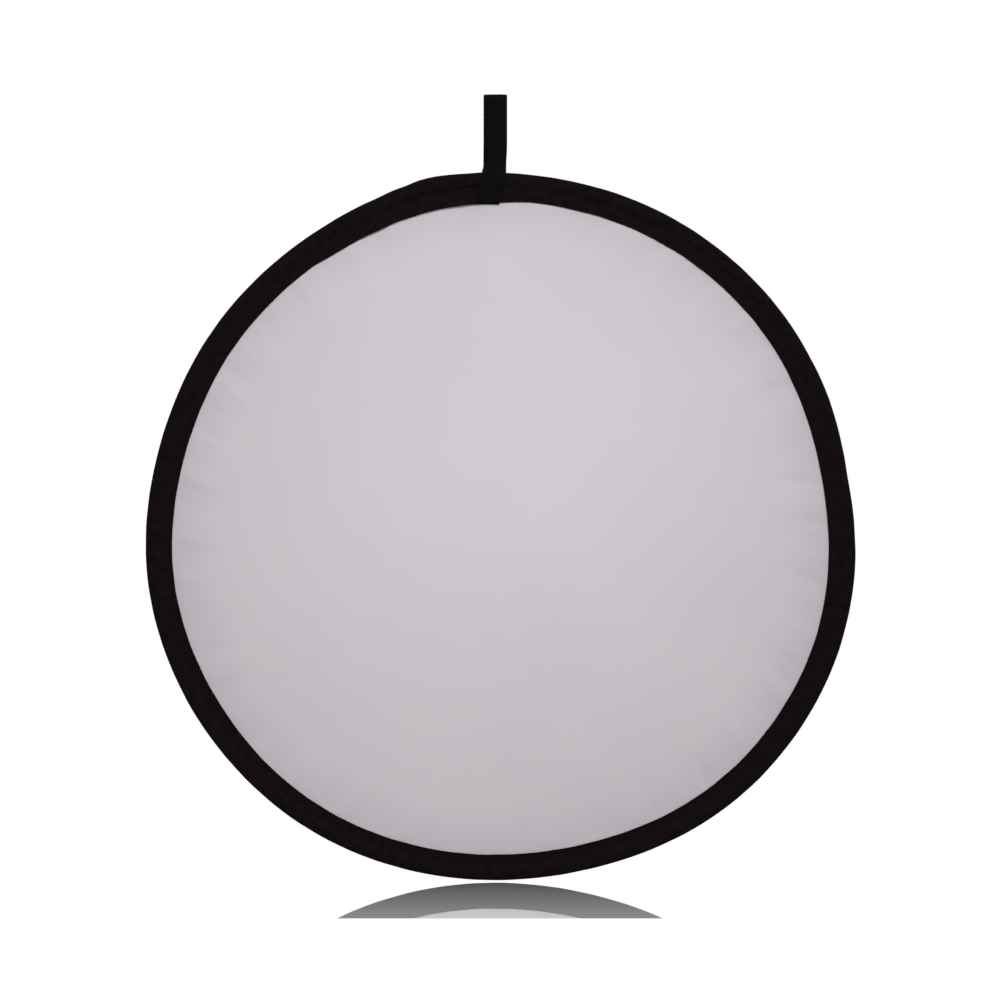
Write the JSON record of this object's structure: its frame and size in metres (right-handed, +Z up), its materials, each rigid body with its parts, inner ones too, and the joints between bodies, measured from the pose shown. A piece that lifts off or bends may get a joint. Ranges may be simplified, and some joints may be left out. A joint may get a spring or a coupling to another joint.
{
  "type": "collapsible reflector disc",
  "caption": "Round collapsible light reflector: fabric panels stretched in a sprung steel hoop with a dark sewn binding, hanging by a webbing loop sewn to its rim.",
  "frame": {"origin": "the hang point: the inside of the top fold of the strap loop, where a hook bears", "axes": "+Z up when hung, +X to the right seen from the front, the white side faces -Y"},
  "size_m": [0.6014, 0.012, 0.6654],
  "materials": {
    "white_fabric": "matt to satin coated nylon",
    "silver_fabric": "metallised satin",
    "binding_cloth": "matt woven",
    "webbing": "matt ribbed webbing",
    "thread": "polyester thread",
    "spring_steel": "blued, lightly oiled",
    "zinc_steel": "zinc plated",
    "shrink_plastic": "heat-shrink"
  },
  "bodies": {
    "strap": {"strap_loop": "webbing"},
    "upper_half": {"strap_leg_front": "webbing", "strap_leg_back": "webbing", "spring_band_left_end": "spring_steel", "spring_band_right_end": "spring_steel", "joint_sleeve": "zinc_steel", "joint_rivet_1": "zinc_steel", "joint_rivet_2": "zinc_steel", "joint_shrink_tube": "shrink_plastic", "binding_upper": "binding_cloth", "binding_lap": "binding_cloth", "front_panel_upper": "white_fabric", "back_panel_upper": "silver_fabric", "seam_thread_front_upper": "thread", "seam_thread_back_upper": "thread", "strap_tack_front_upper": "thread", "strap_tack_front_lower": "thread", "strap_tack_back_upper": "thread", "strap_tack_back_lower": "thread"},
    "lower_half": {"spring_band_lower": "spring_steel", "binding_lower": "binding_cloth", "front_panel_lower": "white_fabric", "back_panel_lower": "silver_fabric", "seam_thread_front_lower": "thread", "seam_thread_back_lower": "thread"}
  },
  "joints": [
    {"name": "disc_swing", "type": "hinge", "parent": "strap", "child": "upper_half", "pos_m": [0, 0, -0.06112], "axis": [1, 0, 0], "range_deg": [-90, 90]},
    {"name": "half_fold", "type": "hinge", "parent": "upper_half", "child": "lower_half", "pos_m": [0.005, -0.0034, -0.3677], "axis": [-1, 0, 0], "range_deg": [0, 150], "stiffness_Nm_per_rad": 0.8}
  ]
}
